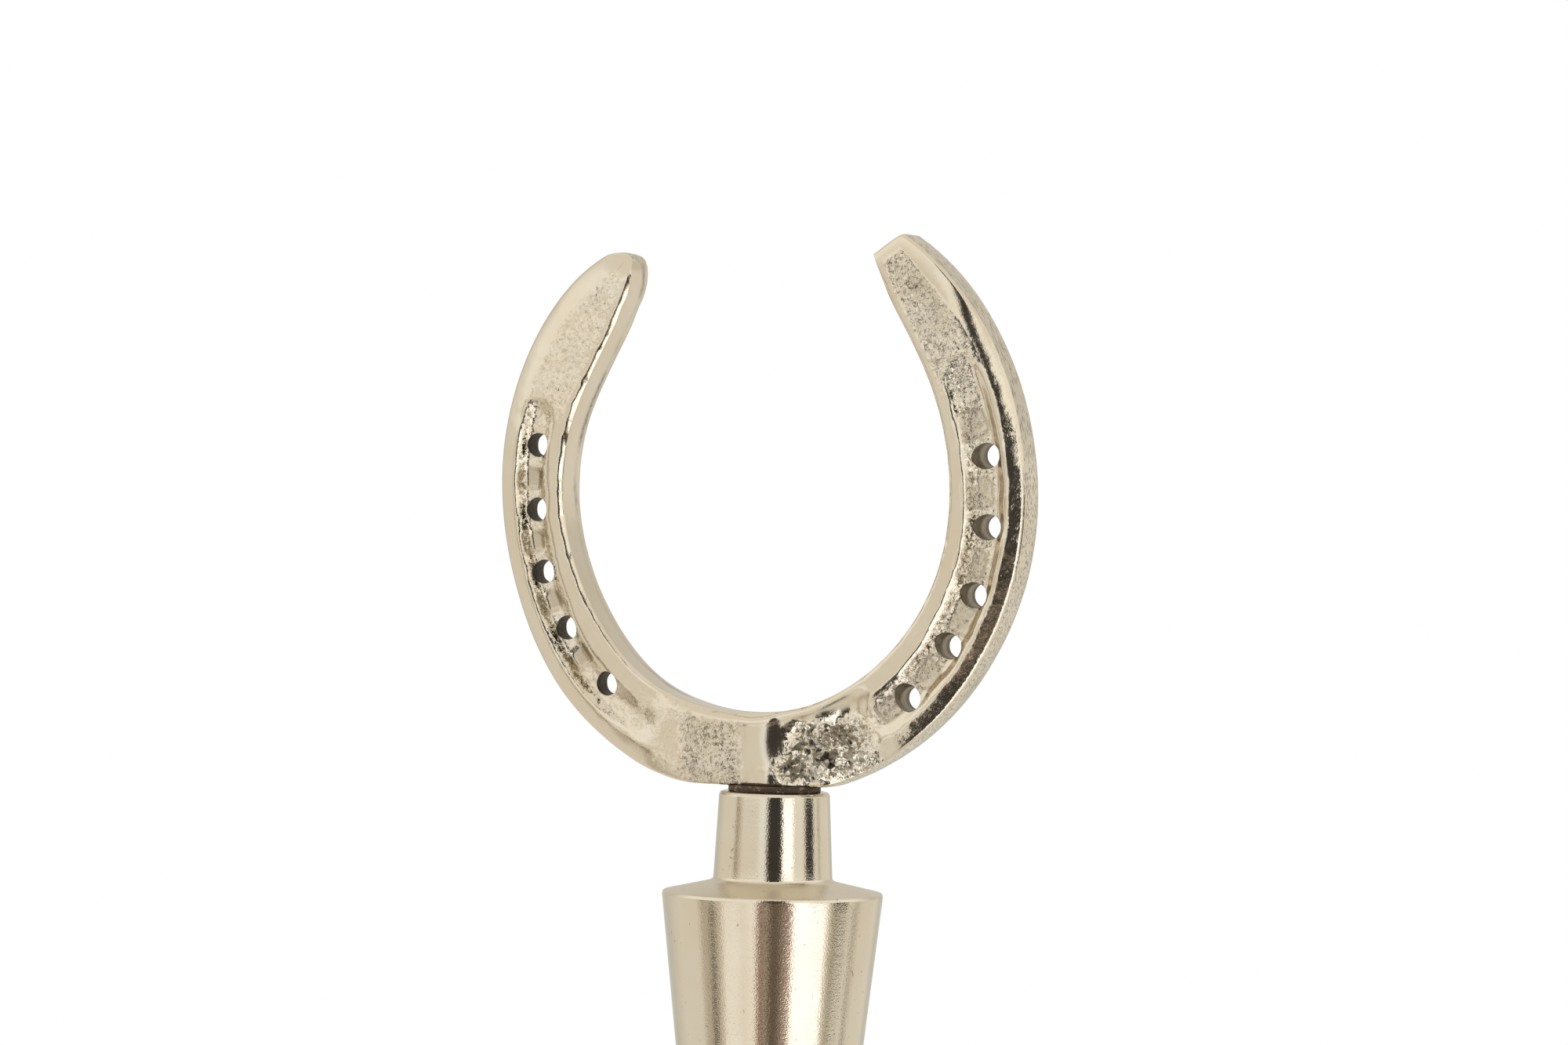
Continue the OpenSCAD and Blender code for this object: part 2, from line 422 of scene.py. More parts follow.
def fields(u, v, d_out, d_in):
    """Depth of the nailed face below its plane, and masks for the finish and for painted shade and painted dark
    reflections, at points of the shoe's plane.
    """
    phi = frame_angle(u, v)
    s = np.radians(phi) * ARC
    right = smooth(-7, 7, phi)
    P = np.stack([u, v, np.zeros_like(u)], -1)
    wob = noise(P, 2.2, 3)
    wob2 = noise(P, 0.8, 5)

    # outer land, sloping outward
    K = [-153, -146, -125, -112, -60, -35, -20, -10, 0, 10, 20, 30, 60, 96, 112, 125, 134, 140, 150]
    width = (1 + (0.07 + 0.05 * right * smooth(128, 108, phi)) * wob + (0.03 + 0.03 * right * smooth(128, 108, phi)) * wob2) * np.interp(phi, K, [2.2, 2.4, 2.6, 2.2, 2.05, 2.3, 2.6, 2.2, 2.0, 2.2, 2.0, 1.8, 1.6, 1.62, 1.9, 2.2, 2.2, 2.1, 1.4])
    drop = np.interp(phi, K, [1.2, 1.25, 1.3, 1.35, 1.3, 1.1, 0.55, 0.12, 0.04, 0.10, 0.55, 0.70, 0.63, 0.65, 0.92, 0.98, 0.36, 0.12, 0.10])
    power = np.interp(phi, K, [1.6, 1.6, 1.5, 1.3, 1.25, 1.4, 1.7, 2.0, 2.0, 1.8, 1.3, 1.12, 1.06, 1.12, 1.7, 2.0, 2.0, 2.0, 1.8])
    edge = np.clip(1 - d_out / width, 0, 1)
    depth = drop * edge**power
    land = smooth(0.02, 0.25, edge)

    # crease, with rounded ends
    def crease(sec, s_toe, s_top, mid, half):
        lo, hi = min(s_toe, s_top) + half, max(s_toe, s_top) - half
        e = np.maximum(0, np.maximum(lo - s, s - hi))
        q = d_out + 0.16 * wob * smooth(4.4, 5.6, d_out) + 0.20 * wob * right * smooth(3.3, 2.2, d_out) + 0.05 * wob2 - mid
        r = np.sqrt(q * q + e * e)
        w = 0.5 * (1 + q / np.maximum(r, 1e-6))
        return w * sec(mid + r) + (1 - w) * sec(mid - r)

    sl = lambda deg: math.radians(deg) * ARC
    cl = crease(SEC_L, sl(-29), sl(-118.5), 3.6, 1.7)
    cr = crease(SEC_R, sl(28.5), sl(123.0), 3.9, 1.9)
    cl = cl * np.interp(phi, [-119, -112, -100, -52, -44, -34], [0.8, 0.95, 1, 1, 0.75, 0.28])
    cr = cr * np.interp(phi, [24, 36, 46, 100, 113, 124], [0.25, 0.6, 1, 1, 0.75, 0.15])
    cut = cl * (1 - right) + cr * right
    in_crease = smooth(0.05, 0.5, cut)
    depth = depth * (1 - 0.0 * in_crease) + cut

    # punch marks
    punch = np.zeros_like(u)
    ring = np.zeros_like(u)
    for k, (x, y) in enumerate(PUNCH_L + PUNCH_R):
        a = math.atan2(x, -(y - PC))
        du, dv = u - x, v - y
        radial = du * math.sin(a) - dv * math.cos(a)
        along = du * math.cos(a) + dv * math.sin(a)
        left = k < len(PUNCH_L)
        hw, hl = (1.3, 1.15) if left else (1.45, 1.4)
        m = ((np.abs(radial) / hw) ** 4 + (np.abs(along) / hl) ** 4) ** 0.25 + 0.06 * wob
        inside = 1 - (smooth(0.62, 1.12, m) if left else smooth(0.45, 1.2, m))
        punch = np.maximum(punch, inside)
        ring = np.maximum(ring, np.exp(-(((m - 1.0) / 0.10) ** 2)) * (0.5 if left else 1.0))
    depth = depth + (0.24 - 0.13 * right) * punch * np.clip(in_crease * 1.3, 0.35, 1) + 0.03 * ring

    # toe: the boss over the stud, a low swelling to its right, a raised inner edge
    fade = smooth(-0.2, 1.1, d_in) * smooth(34, 26, np.abs(phi)) * (1 - in_crease)
    ridge = 0.16 * np.exp(-(((d_in - 0.55) / 0.4) ** 2)) * smooth(26, 14, np.abs(phi))
    low = smooth(0.2, 2.3, d_in) * smooth(0.9, 2.2, u) + 1 - smooth(0.9, 2.2, u)
    depth = depth + TOE(u - 0.12 + 0.15 * wob - 0.5 * ((v - 4.2) / 2.6) ** 2 * smooth(-1.5, 0.5, u) * smooth(4.5, 2.5, u)) * fade * low - ridge
    # the lower lip of the toe turns under
    depth = depth + 0.20 * smooth(1.9, 0.1, v) * smooth(0.2, 1.4, u) * smooth(9.5, 7.0, u)

    # hollow beside the right heel's rim
    hollow = np.exp(-(((d_out - 2.9) / 0.8) ** 2)) * smooth(128, 134, phi) * smooth(147, 142, phi)
    depth = depth + 0.22 * hollow

    # crisp bevel along the inner edge
    bevel = np.interp(phi, [-153.5, -152.6, -150, -120, -90, -60, -30, 0, 60, 146, 151], [-0.1, 0.30, 0.44, 0.46, 0.40, 0.25, 0.2, 0.25, 0.28, 0.25, -0.1])
    bevel = bevel * (1 + 0.25 * wob2)
    soft = 0.045 + 0.025 * smooth(-50, -75, phi)
    x = (bevel - d_in) / soft
    depth = depth + np.where(x > 20, x, np.log1p(np.exp(np.clip(x, -30, 20)))) * soft * 0.75
    # small round on the outer edge
    x = (0.16 - d_out) / 0.04
    depth = depth + np.where(x > 20, x, np.log1p(np.exp(np.clip(x, -30, 20)))) * 0.04 * 1.1

    # finish masks, with masks for painted shade and painted dark reflections
    flat = (1 - land) * smooth(0.5, 1.1, d_in)
    heel_r = smooth(116, 126, phi) * flat
    heel_l = smooth(-112, -122, phi) * flat
    toe_r = np.exp(-(((u - 7.1) / 4.3) ** 4)) * np.exp(-(((v - 3.4 - 0.12 * (u - 6)) / 2.7) ** 4))
    boss_r = smooth(-0.5, 0.5, u - 3.2 + 1.5 * smooth(4.0, 2.6, v) + 0.6 * wob) * smooth(5.6, 4.4, u) * smooth(-0.2, 1.0, v) * smooth(6.6, 5.6, v)
    toe_l = smooth(-9.5, -7.5, u) * smooth(-1.8, -2.6, u) * smooth(0.4, 1.4, d_in) * smooth(9.5, 7.0, v)
    far_l = smooth(-16, -12, u) * smooth(-6, -9, u) * smooth(12, 9, v) * 0.5
    sugar_r = right * in_crease * (1 - 0.25 * punch) * smooth(2.6, 3.4, d_out)
    wall_l = (1 - right) * in_crease * smooth(3.15, 2.5, d_out) * smooth(1.95, 2.1, d_out)
    floor_l = (1 - right) * in_crease * (1 - wall_l) * (1 - 0.8 * punch) * 0.35
    grain = np.clip(
        0.85 * heel_r + 0.34 * heel_l + 0.8 * toe_r + 0.7 * boss_r + 0.74 * toe_l + 0.3 * far_l + 0.75 * sugar_r + 0.5 * wall_l + floor_l + 0.13 * right * land * smooth(136, 122, phi), 0, 1
    )
    coarse = np.clip(toe_r + 0.55 * boss_r + 0.14 * sugar_r * smooth(4.4, 5.2, d_out) + 0.25 * wall_l + 0.12 * heel_r, 0, 1)
    grain = np.clip(grain * (0.8 + 0.4 * wob), 0, 1)
    # painted dark reflection: two patches on the toe where crystals get a very dark colour
    painted_dark_reflection = np.exp(-(((u - 7.0) / 1.9) ** 2) - (((v - 3.9 - 0.25 * (u - 7)) / 2.9) ** 2)) + 0.55 * np.exp(-(((u - 2.2) / 1.2) ** 2) - (((v - 2.4) / 1.8) ** 2))

    rough_mesh = (
        0.13 * toe_r * (crystals(P, 0.62, 2) - 0.45)
        + 0.10 * coarse * (crystals(P, 0.50, 9) - 0.45)
        + 0.03 * grain * noise(P, 0.42, 11)
        + 0.012 * noise(P, 1.5, 13)
        + 0.035 * noise(P, 5.0, 15) * flat
    )
    depth = depth + rough_mesh
    # painted shade, partly grime as well: darker in the punch marks and round their rims, in the hollow by the right
    # heel and over the toe's left side
    shade_and_dirt = np.clip(0.75 * punch * np.clip(in_crease + 0.2, 0, 1) + (0.6 + 0.6 * right) * ring * in_crease + 0.35 * hollow + 0.30 * toe_l, 0, 1) * (1 - 0.55 * wall_l)
    return depth, grain, coarse, shade_and_dirt, in_crease, painted_dark_reflection


def profile_offsets():
    """Where the ring's points lie across the face: (from inner, from outer) near the edges, and shares between."""
    return np.array([0.0, 0.035, 0.08, 0.14, 0.21, 0.29, 0.38, 0.48]), np.array([0.0, 0.04, 0.09, 0.15, 0.22, 0.32])


def build_shoe():
    e_in, e_out = profile_offsets()
    length = np.hypot(OU - IU, OV - IV)
    n_mid = FRONT - len(e_in) - len(e_out)
    w = np.zeros((len(PHI), FRONT))
    for i, L in enumerate(length):
        k = min(1.0, L / 2.2)
        a, b = e_in * k, L - e_out[::-1] * k
        mid = np.linspace(a[-1], b[0], n_mid + 2)[1:-1]
        w[i] = np.concatenate([a, mid, b]) / L
    fu = IU[:, None] + (OU - IU)[:, None] * w
    fv = IV[:, None] + (OV - IV)[:, None] * w
    flat = np.stack([fu.ravel(), fv.ravel()], -1)
    d_out, d_in = distance_to(OUT_LINE, flat), distance_to(IN_LINE, flat)
    depth = fields(flat[:, 0], flat[:, 1], d_out, d_in)[0].reshape(fu.shape)

    # walls: a slightly uneven drop from the face's edge to the back's edge
    def back_depth(u, v, do, di):
        dmin = np.minimum(do, di)
        x = np.clip(1 - dmin / 0.75, 0, 1)
        P = np.stack([u, v, np.full_like(u, 9.0)], -1)
        return 0.75 * (1 - np.sqrt(np.clip(1 - x * x, 0, 1))) + 0.02 * noise(P, 1.6, 31) + 0.05 * noise(P, 6.0, 33) + 0.02 * noise(P, 0.7, 35)

    nb = 26
    e = np.array([0.0, 0.03, 0.1, 0.22, 0.38, 0.58, 0.8])
    wb = np.zeros((len(PHI), nb))
    for i, L in enumerate(length):
        k = min(1.0, L / 3.0)
        a, b = e * k, L - e[::-1] * k
        mid = np.linspace(a[-1], b[0], nb - 2 * len(e) + 2)[1:-1]
        wb[i] = (np.concatenate([a, mid, b]) / L)[::-1]  # outer to inner
    bu = IU[:, None] + (OU - IU)[:, None] * wb
    bv = IV[:, None] + (OV - IV)[:, None] * wb
    bflat = np.stack([bu.ravel(), bv.ravel()], -1)
    bdepth = back_depth(bflat[:, 0], bflat[:, 1], distance_to(OUT_LINE, bflat), distance_to(IN_LINE, bflat)).reshape(bu.shape)

    rows = []
    nw = 11
    yf, yb = -T / 2 + depth, T / 2 - bdepth
    # outward direction of each edge in the plane, for the walls' unevenness
    def outward(U, V, sign):
        du, dv = np.gradient(U), np.gradient(V)
        n = np.stack([dv, -du], -1)
        n /= np.maximum(np.linalg.norm(n, axis=1), 1e-9)[:, None]
        return n * sign

    no, ni = outward(OU, OV, 1.0), outward(IU, IV, -1.0)
    taper = np.clip(length / 3.0, 0, 1)
    for i in range(len(PHI)):
        ring = [(fu[i, j], yf[i, j], fv[i, j]) for j in range(FRONT)]
        for k in range(1, nw + 1):
            t = k / (nw + 1)
            ring.append((OU[i], yf[i, -1] + (yb[i, 0] - yf[i, -1]) * t, OV[i]))
        ring += [(bu[i, j], yb[i, j], bv[i, j]) for j in range(nb)]
        for k in range(1, nw + 1):
            t = k / (nw + 1)
            ring.append((IU[i], yb[i, -1] + (yf[i, 0] - yb[i, -1]) * t, IV[i]))
        rows.append(ring)
    G = np.array(rows)  # stations x ring x (u, y, v)
    n_ring = G.shape[1]
    o0, o1 = FRONT, FRONT + nw
    i0, i1 = FRONT + nw + nb, n_ring
    for (a, b, n, seed) in ((o0, o1, no, 51), (i0, i1, ni, 57)):
        block = G[:, a:b, :]
        P = block.reshape(-1, 3)
        k = np.sin(np.linspace(0, math.pi, b - a + 2)[1:-1])[None, :] ** 0.5
        bump = (0.035 * noise(P, 2.5, seed) + 0.018 * noise(P, 0.9, seed + 2) + 0.06).reshape(block.shape[:2]) * k * taper[:, None]
        block[:, :, 0] += n[:, None, 0] * bump
        block[:, :, 2] += n[:, None, 1] * bump
        G[:, a:b, :] = block

    verts = G.reshape(-1, 3)
    u, y, v = verts[:, 0], verts[:, 1], verts[:, 2]
    world = np.stack([CL * u - SL * v, y, SEAT + SL * u + CL * v], -1) * MM
    faces = []
    for i in range(len(PHI) - 1):
        a, b = i * n_ring, (i + 1) * n_ring
        for j in range(n_ring):
            m = (j + 1) % n_ring
            faces.append((a + j, b + j, b + m, a + m))
    faces.append(tuple(range(n_ring)))
    last = (len(PHI) - 1) * n_ring
    faces.append(tuple(last + j for j in reversed(range(n_ring))))
    obj = new_object("horseshoe_cast", world, faces)
    bm = bmesh.new()
    bm.from_mesh(obj.data)
    caps = [f for f in bm.faces if len(f.verts) > 4]
    bmesh.ops.triangulate(bm, faces=caps)
    bmesh.ops.recalc_face_normals(bm, faces=bm.faces)
    volume = bm.calc_volume(signed=True)
    if volume < 0:
        bmesh.ops.reverse_faces(bm, faces=bm.faces)
    bm.to_mesh(obj.data)
    bm.free()
    return obj


def cutter_hole(name, u, v, right):
    """A drilled hole through the shoe. The right branch's holes keep the drill's rings and a worn mouth."""
    seg = 48
    ys = np.linspace(-3.6, 3.2, 52 if right else 30)
    inward = math.atan2(PC - v, -u)  # towards the middle of the shoe
    verts = []
    for y in ys:
        down = y + T / 2
        if right:
            mouth = float(smooth(1.9, 0.6, down))
            r = 1.18 + 0.5 * max(0.0, down - 3.9) + 0.02 * math.sin(down * 2 * math.pi / 0.40)
            wide, tall, shift = r + 0.34 * mouth, r + 0.10 * mouth, 0.20 * mouth
        else:
            mouth = float(smooth(1.4, 0.6, down))
            r = 1.17 + 0.42 * max(0.0, down - 3.25)
            wide, tall, shift = r + 0.05 * mouth, r + 0.05 * mouth, 0.0
        for k in range(seg):
            a = 2 * math.pi * k / seg
            p, q = wide * math.cos(a) + shift, tall * math.sin(a)
            uu = u + p * math.cos(inward) - q * math.sin(inward)
            vv = v + p * math.sin(inward) + q * math.cos(inward)
            verts.append(((CL * uu - SL * vv) * MM, y * MM, (SEAT + SL * uu + CL * vv) * MM))
    faces = []
    for i in range(len(ys) - 1):
        for k in range(seg):
            m = (k + 1) % seg
            faces.append((i * seg + k, i * seg + m, (i + 1) * seg + m, (i + 1) * seg + k))
    faces.append(tuple(reversed(range(seg))))
    faces.append(tuple((len(ys) - 1) * seg + k for k in range(seg)))
    obj = new_object(name, verts, faces)
    bm = bmesh.new()
    bm.from_mesh(obj.data)
    bmesh.ops.recalc_face_normals(bm, faces=bm.faces)
    bm.to_mesh(obj.data)
    bm.free()
    return obj


def join_meshes(name, objs):
    verts, faces = [], []
    for o in objs:
        base = len(verts)
        verts += [tuple(v.co) for v in o.data.vertices]
        faces += [tuple(base + i for i in p.vertices) for p in o.data.polygons]
        bpy.data.objects.remove(o)
    return new_object(name, verts, faces)


def cut(obj, tool):
    solver_names = bpy.types.BooleanModifier.bl_rna.properties["solver"].enum_items.keys()
    m = obj.modifiers.new("cut", "BOOLEAN")
    m.operation = "DIFFERENCE"
    m.solver = "MANIFOLD" if "MANIFOLD" in solver_names else "EXACT"
    m.object = tool
    dg = bpy.context.evaluated_depsgraph_get()
    mesh = bpy.data.meshes.new_from_object(obj.evaluated_get(dg))
    obj.modifiers.clear()
    obj.data = mesh
    bpy.data.objects.remove(tool)


shoe = build_shoe()
cutters = [cutter_hole(f"h{k}", u, v, False) for k, (u, v) in enumerate(HOLES_L)]
cutters += [cutter_hole(f"g{k}", u, v, True) for k, (u, v) in enumerate(HOLES_R)]
cutters.append(lathe("stud_bore", [(0, 40.0), (2.05, 40.0), (2.05, 50.0), (2.05, 54.3), (1.8, 54.45), (0, 54.45)], 64))
cut(shoe, join_meshes("shoe_cutters", cutters))
shoe.data.name = "horseshoe_cast"


def paint_shoe(obj):
    """Stores the finish masks, with the masks for painted shade and painted dark reflections, on the mesh and marks
    its crisp edges.
    """
    me = obj.data
    n = len(me.vertices)
    co = np.empty(n * 3, np.float64)
    me.vertices.foreach_get("co", co)
    co = co.reshape(-1, 3) / MM
    x, y, z = co[:, 0], co[:, 1], co[:, 2] - SEAT
    u, v = CL * x + SL * z, -SL * x + CL * z
    flat = np.stack([u, v], -1)
    d_out, d_in = distance_to(OUT_LINE, flat), distance_to(IN_LINE, flat)
    depth, grain, coarse, shade_and_dirt, in_crease, painted_dark_reflection = fields(u, v, d_out, d_in)
    front = (y < -T / 2 + depth + 0.12).astype(float)
    hole_wall_shade = np.zeros(n)
    rim = np.zeros(n)
    for hu, hv in HOLES_L + HOLES_R:
        r = np.hypot(u - hu, v - hv)
        deep = y > -T / 2 + depth + 0.02
        # painted shade: the hole walls are marked for a very dark colour, fully in the left-hand holes and more
        # strongly deeper down in the right-hand ones
        hole_wall_shade = np.maximum(hole_wall_shade, ((r < 2.1) & deep & (y < T / 2 - 0.5) & (np.minimum(d_out, d_in) > 0.5)).astype(float) * (1.0 if hu < 0 else 0.33 + 0.45 * smooth(0.0, 1.0, y)))
        rim = np.maximum(rim, np.exp(-(((r - 1.25) / 0.16) ** 2)) * front)
    wall = (1 - front) * (np.minimum(d_out, d_in) < 0.2) * (y < T / 2 - 0.6)
    back = (1 - front) * (1 - hole_wall_shade) * (1 - wall)
    values = {
        "grain": grain * front + 0.25 * back,
        "coarse": coarse * front,
        "painted_dark_reflection": np.clip(painted_dark_reflection, 0, 1) * front,
        # painted shade round the hole mouths, added to the crease shade
        "shade_and_dirt": np.clip(shade_and_dirt * front + 0.25 * rim, 0, 1),
        "hole": hole_wall_shade,
        "side": wall * (d_out < d_in),
        "streak": wall * (d_in < d_out) * (u < 0) * np.exp(-(((y - 0.85 - 0.25 * noise(co, 3.0, 71)) / 0.36) ** 2)) * (0.15 + 0.85 * smooth(-0.4, 0.7, noise(co, 3.6, 73))),
        "back": back,
    }
    for name, val in values.items():
        a = me.attributes.new(name, "FLOAT", "POINT")
        a.data.foreach_set("value", np.asarray(val, np.float32))
    me.polygons.foreach_set("use_smooth", [True] * len(me.polygons))
    me.set_sharp_from_angle(angle=math.radians(52))
    me.update()


paint_shoe(shoe)

# ---------------------------------------------------------------- turned parts


def plug_r(z):
    return 11 - 0.111 * (38 - z)


def groove(z0, steps=14):
    """Half-round groove in the cone for a seal ring, from below to above."""
    cr = plug_r(z0) - 0.6
    pts = []
    for k in range(steps + 1):
        a = -math.pi / 2 + math.pi * k / steps
        pts.append((cr - 1.25 * math.cos(a) * 1.0, z0 + 1.25 * math.sin(a)))
    return pts


corner = [(0, 0), (5.78, 0), (6.515, 0.3), (6.893, 1.0)]
body = [(0.0, 0.0)] + rounded(corner, [0, 0.3, 0.3, 0], 4)[1:]
for z0, cr in ((5.5, 6.7925), (11.0, 7.403), (16.5, 8.0135)):
    # where the ring's groove circle meets the cone
    lo, hi = None, None
    for k in range(400):
        a = -math.pi + math.pi * k / 400
        # the circle's inner half runs from the lower to the upper crossing
    lower = None
    zs = np.linspace(z0 - 1.25, z0, 200)
    f = lambda z: cr + math.sqrt(max(0, 1.25**2 - (z - z0) ** 2)) - plug_r(z)
    zl = next((z for z in zs if f(z) > 0), z0 - 1.2)
    zs = np.linspace(z0 + 1.25, z0, 200)
    zu = next((z for z in zs if f(z) > 0), z0 + 1.2)
    al = math.atan2(zl - z0, plug_r(zl) - cr)
    au = math.atan2(zu - z0, plug_r(zu) - cr)
    body.append((plug_r(zl), zl))
    start, end = al, au - 2 * math.pi
    for k in range(1, 24):
        a = start + (end - start) * k / 24
        body.append((cr + 1.25 * math.cos(a), z0 + 1.25 * math.sin(a)))
    body.append((plug_r(zu), zu))
top = [(plug_r(22.0), 22.0), (10.975, 37.74), (10.88, 38.06), (6.45, 39.06), (5.92, 39.3), (5.50, 47.70), (5.35, 47.98), (5.05, 48.05), (2.05, 48.05), (2.05, 38.8), (1.8, 38.55), (0.0, 38.55)]
body += rounded(top, [0, 0.14, 0.20, 0.5, 0.45, 0.2, 0.15, 0.1, 0.05, 0.1, 0.1, 0], 5)
body = resample(body, 1.2)
stopper = lathe("stopper_turned", body, 256)
stopper.data.set_sharp_from_angle(angle=math.radians(48))

washer = lathe(
    "washer_fibre",
    [(2.05, 48.07), (4.52, 48.05), (4.6, 48.12), (4.58, 48.35), (4.6, 48.58), (4.52, 48.65), (2.05, 48.63), (2.05, 48.07)],
    160,
)
washer.data.set_sharp_from_angle(angle=math.radians(60))
rings = {}
for name, cr, z0 in (("seal_ring_lower", 6.7925, 5.5), ("seal_ring_middle", 7.403, 11.0), ("seal_ring_upper", 8.0135, 16.5)):
    prof = [(cr + 1.2 * math.cos(2 * math.pi * k / 32), z0 + 1.2 * math.sin(2 * math.pi * k / 32)) for k in range(32)]
    # a moulding line round the ring's outside
    prof[0] = (prof[0][0] + 0.03, prof[0][1])
    rings[name] = lathe(name + "_moulded", prof + [prof[0]], 192)

# ---------------------------------------------------------------- materials

NICKEL = (0.73, 0.665, 0.55, 1)
NICKEL_WARM = (0.70, 0.60, 0.455, 1)
NICKEL_DARK = (0.20, 0.165, 0.125, 1)


def cast_nickel():
    m, n, b = material("cast_nickel_look")
    co = n.coords()
    grain, coarse, dark_reflection_area = n.attribute("grain"), n.attribute("coarse"), n.attribute("painted_dark_reflection")
    shade_and_dirt, hole, side, streak = (n.attribute(k) for k in ("shade_and_dirt", "hole", "side", "streak"))
    back = n.attribute("back")
    big = n.noise(co, 7.0, 3).outputs["Fac"]
    mid = n.noise(co, 1.3, 3).outputs["Fac"]
    fine = n.noise(co, 0.36, 3, 0.62).outputs["Fac"]
    tiny = n.noise(co, 0.11, 1, 0.5).outputs["Fac"]
    colour = n.mix(n.ramp_range(big, 0.35, 0.65), NICKEL, (0.715, 0.635, 0.505, 1))
    colour = n.mix(n.math("MULTIPLY", n.ramp_range(mid, 0.52, 0.72), 0.35), colour, NICKEL_WARM)
    # dull specks where the grain's pits hold polish residue
    specks = n.noise(co, 0.42, 2, 0.55).outputs["Fac"]
    pit = n.math("MULTIPLY", n.ramp_range(specks, 0.54, 0.64), n.math("MULTIPLY", grain, n.math("MULTIPLY_ADD", coarse, -0.95, 1.0)))
    colour = n.mix(n.math("MULTIPLY", pit, 0.82), colour, NICKEL_DARK)
    # coarse crystals: each has its own face, and some among the bright ones are painted very dark as painted dark
    # reflections
    cell = n.noise(co, 0.55, kind="ShaderNodeTexVoronoi")
    small = n.noise(co, 0.30, kind="ShaderNodeTexVoronoi")
    pick = n.add("ShaderNodeSeparateColor")
    n.set(pick.inputs[0], cell.outputs["Color"])
    clump = n.ramp_range(n.math("ADD", n.math("MULTIPLY", n.math("SUBTRACT", n.noise(co, 1.5, 2, 0.6).outputs["Fac"], 0.5), 2.2), dark_reflection_area), 0.40, 0.55)
    painted_dark_reflection = n.math("MULTIPLY", n.math("MULTIPLY", clump, n.ramp_range(dark_reflection_area, 0.10, 0.25)), n.ramp_range(pick.outputs[0], 0.54, 0.48))
    colour = n.mix(n.math("MULTIPLY", coarse, 0.6), colour, (0.82, 0.765, 0.67, 1))
    colour = n.mix(n.math("MULTIPLY", painted_dark_reflection, 0.88), colour, (0.055, 0.048, 0.04, 1))
    # painted shade, partly grime: a brown darkening over the punch marks, hole mouths, the right heel's hollow and the
    # toe's left side
    colour = n.mix(n.math("MULTIPLY", shade_and_dirt, 0.8), colour, (0.46, 0.395, 0.30, 1))
    # painted shade: the hole walls get a very dark colour, with lighter and darker ring lines painted over the drill
    # rings
    rings = n.noise(co, 0.30, 2, 0.6).outputs["Fac"]
    bored = n.add("ShaderNodeMapping")
    n.set(bored.inputs["Vector"], n.add("ShaderNodeTexCoord").outputs["Object"])
    bored.inputs["Scale"].default_value = (0.18, 1.0, 0.18)
    rings = n.math("ADD", n.math("MULTIPLY", rings, 0.4), n.math("MULTIPLY", n.noise(bored.outputs[0], 0.15, 2, 0.6).outputs["Fac"], 0.6))
    inside = n.mix(n.ramp_range(rings, 0.42, 0.58), (0.034, 0.025, 0.013, 1), (0.11, 0.084, 0.050, 1))
    colour = n.mix(hole, colour, inside)
    patch = n.ramp_range(n.noise(co, 0.5, 3, 0.6).outputs["Fac"], 0.35, 0.6, 0.5, 1.0)
    colour = n.mix(n.math("MULTIPLY", streak, patch), colour, (0.13, 0.10, 0.07, 1))
    # short slanting tool marks on the outer wall
    mapping = n.add("ShaderNodeMapping", vector_type="TEXTURE")
    n.set(mapping.inputs["Vector"], n.add("ShaderNodeTexCoord").outputs["Object"])
    mapping.inputs["Rotation"].default_value = (0.0, math.radians(-28), 0.0)
    mapping.inputs["Scale"].default_value = (0.55, 0.55, 2.6)
    dash = n.noise(mapping.outputs[0], 0.46, 1, 0.5).outputs["Fac"]
    dash = n.math("MULTIPLY", n.ramp_range(dash, 0.57, 0.63), side)
    colour = n.mix(n.math("MULTIPLY", dash, 0.65), colour, NICKEL_DARK)
    n.set(b.inputs["Base Color"], colour)
    b.inputs["Metallic"].default_value = 1.0
    r = n.math("MULTIPLY_ADD", grain, 0.05, 0.115)
    r = n.math("ADD", r, n.math("MULTIPLY", n.math("SUBTRACT", mid, 0.5), 0.10))
    r = n.math("ADD", r, n.math("MULTIPLY", shade_and_dirt, 0.16))
    r = n.math("ADD", r, n.math("MULTIPLY", n.ramp_range(hole, 0.05, 0.4), 0.40))
    r = n.math("ADD", r, n.math("MULTIPLY", back, 0.05))
    n.set(b.inputs["Roughness"], n.math("MAXIMUM", r, 0.06))
    # sugar grain
    h = n.math("MULTIPLY", fine, grain)
    h = n.math("ADD", h, n.math("MULTIPLY", cell.outputs["Distance"], n.math("MULTIPLY", coarse, 0.55)))
    b1 = n.add("ShaderNodeBump", inputs={"Height": h, "Distance": 0.16 * MM, "Strength": 1.0})
    # fine texture everywhere, such as on the smooth rims
    b2 = n.add("ShaderNodeBump", inputs={"Height": tiny, "Distance": 0.008 * MM, "Strength": 1.0, "Normal": b1})
    b3 = n.add("ShaderNodeBump", inputs={"Height": dash, "Distance": -0.10 * MM, "Strength": 1.0, "Normal": b2})
    normal = b3.outputs[0]
    # the crystals' own faces
    for source, amount in ((cell, n.math("MULTIPLY", coarse, 1.2)), (small, n.math("MULTIPLY", grain, 0.62))):
        tilt = n.add("ShaderNodeVectorMath", operation="SUBTRACT")
        n.set(tilt.inputs[0], source.outputs["Color"])
        tilt.inputs[1].default_value = (0.5, 0.5, 0.5)
        scaled = n.add("ShaderNodeVectorMath", operation="SCALE")
        n.set(scaled.inputs[0], tilt.outputs[0])
        n.set(scaled.inputs["Scale"], amount)
        total = n.add("ShaderNodeVectorMath", operation="ADD")
        n.set(total.inputs[0], normal)
        n.set(total.inputs[1], scaled.outputs[0])
        normal = total.outputs[0]
    unit = n.add("ShaderNodeVectorMath", operation="NORMALIZE")
    n.set(unit.inputs[0], normal)
    n.set(b.inputs["Normal"], unit.outputs[0])
    return m


